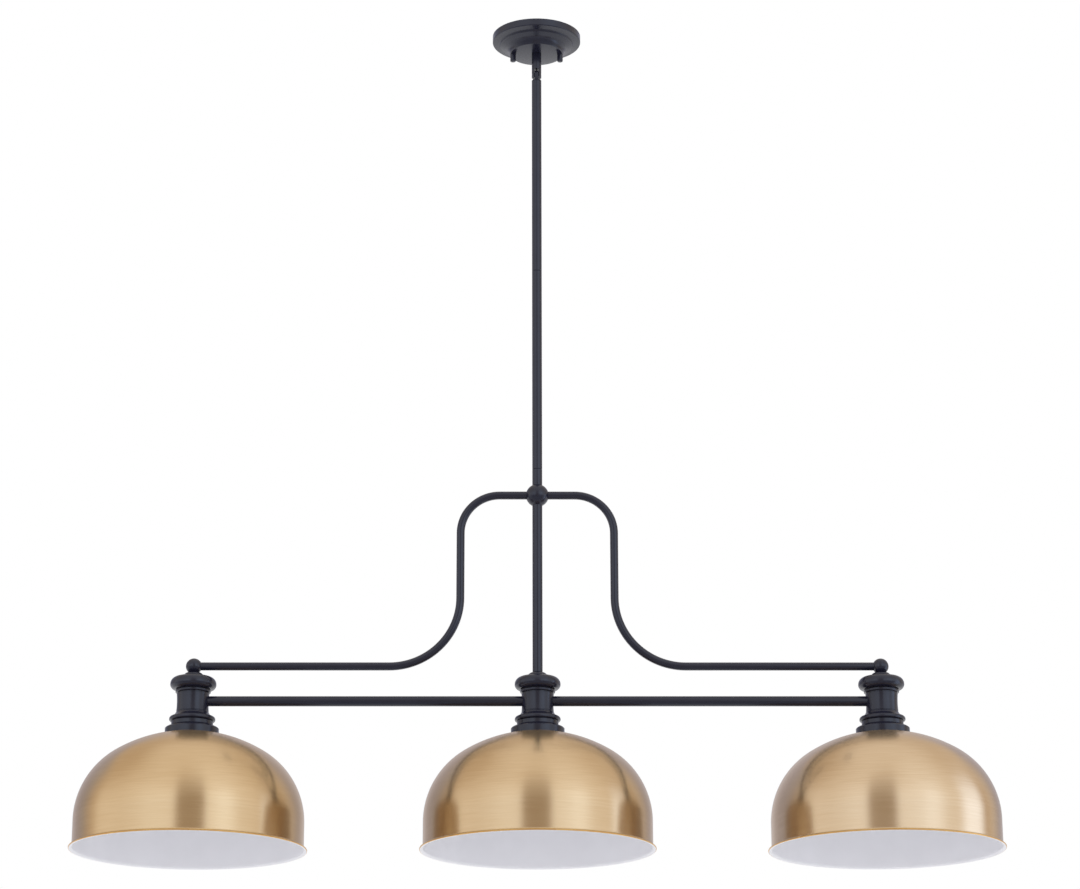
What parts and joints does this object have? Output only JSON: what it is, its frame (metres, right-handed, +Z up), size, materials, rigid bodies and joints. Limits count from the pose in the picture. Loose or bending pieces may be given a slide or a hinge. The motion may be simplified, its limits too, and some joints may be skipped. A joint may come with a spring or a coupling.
{
  "type": "billiard light",
  "caption": "Linear ceiling pendant with dome shades in a row, hung from turned columns on curved arms and a rod stem with a swivel under a round canopy.",
  "frame": {"origin": "centre of the crossbar's top face, in the ceiling plane on the stem's axis", "axes": "+Z up into the ceiling, +X along the row of shades, -Y towards the viewer"},
  "size_m": [1.3021, 0.3302, 1.2354],
  "materials": {
    "black_enamel": "satin",
    "brushed_brass": "brushed outside, white enamel inside",
    "zinc_steel": "zinc plated",
    "ground_green": "satin",
    "porcelain": "glazed",
    "shell_brass": "plain",
    "ring_black": "matte",
    "line_insulation": "smooth",
    "neutral_insulation": "smooth",
    "splice_plastic": "smooth"
  },
  "bodies": {
    "ceiling_mount": {"crossbar": "zinc_steel", "ground_screw": "ground_green", "canopy_studs": "zinc_steel", "stud_nuts": "zinc_steel", "canopy": "black_enamel", "canopy_cap_nuts": "black_enamel"},
    "swivel": {"swivel_fork": "black_enamel", "swivel_washer": "zinc_steel", "swivel_nut": "zinc_steel", "swivel_pivots": "zinc_steel", "swivel_line_lead": "line_insulation", "swivel_neutral_lead": "neutral_insulation"},
    "fixture": {"rod_nipples": "zinc_steel", "hub_nipples": "zinc_steel", "column_nuts": "zinc_steel", "swivel_knuckle": "black_enamel", "upper_rod": "black_enamel", "lower_rod": "black_enamel", "stub_rod": "black_enamel", "hub_ball": "black_enamel", "centre_rod": "black_enamel", "left_arm": "black_enamel", "right_arm": "black_enamel", "left_end_ball": "black_enamel", "right_end_ball": "black_enamel", "left_tube": "black_enamel", "right_tube": "black_enamel", "left_column_cap": "black_enamel", "left_column_body": "black_enamel", "left_shade_cup": "black_enamel", "left_column_nipple": "zinc_steel", "left_shade": "brushed_brass", "left_socket": "porcelain", "left_screw_shell": "shell_brass", "left_centre_contact": "shell_brass", "left_shade_ring": "ring_black", "centre_column_cap": "black_enamel", "centre_column_body": "black_enamel", "centre_shade_cup": "black_enamel", "centre_column_nipple": "zinc_steel", "centre_shade": "brushed_brass", "centre_socket": "porcelain", "centre_screw_shell": "shell_brass", "centre_centre_contact": "shell_brass", "centre_shade_ring": "ring_black", "right_column_cap": "black_enamel", "right_column_body": "black_enamel", "right_shade_cup": "black_enamel", "right_column_nipple": "zinc_steel", "right_shade": "brushed_brass", "right_socket": "porcelain", "right_screw_shell": "shell_brass", "right_centre_contact": "shell_brass", "right_shade_ring": "ring_black", "line_leads": "line_insulation", "neutral_leads": "neutral_insulation", "wire_splices": "splice_plastic"}
  },
  "joints": [
    {"name": "swivel_turn", "type": "hinge", "parent": "ceiling_mount", "child": "swivel", "pos_m": [0, 0, -0.0608], "axis": [0, 0, 1], "range_deg": [-175, 175]},
    {"name": "swivel_tilt", "type": "hinge", "parent": "swivel", "child": "fixture", "pos_m": [0, 0, -0.0608], "axis": [1, 0, 0], "range_deg": [-45, 45]}
  ]
}
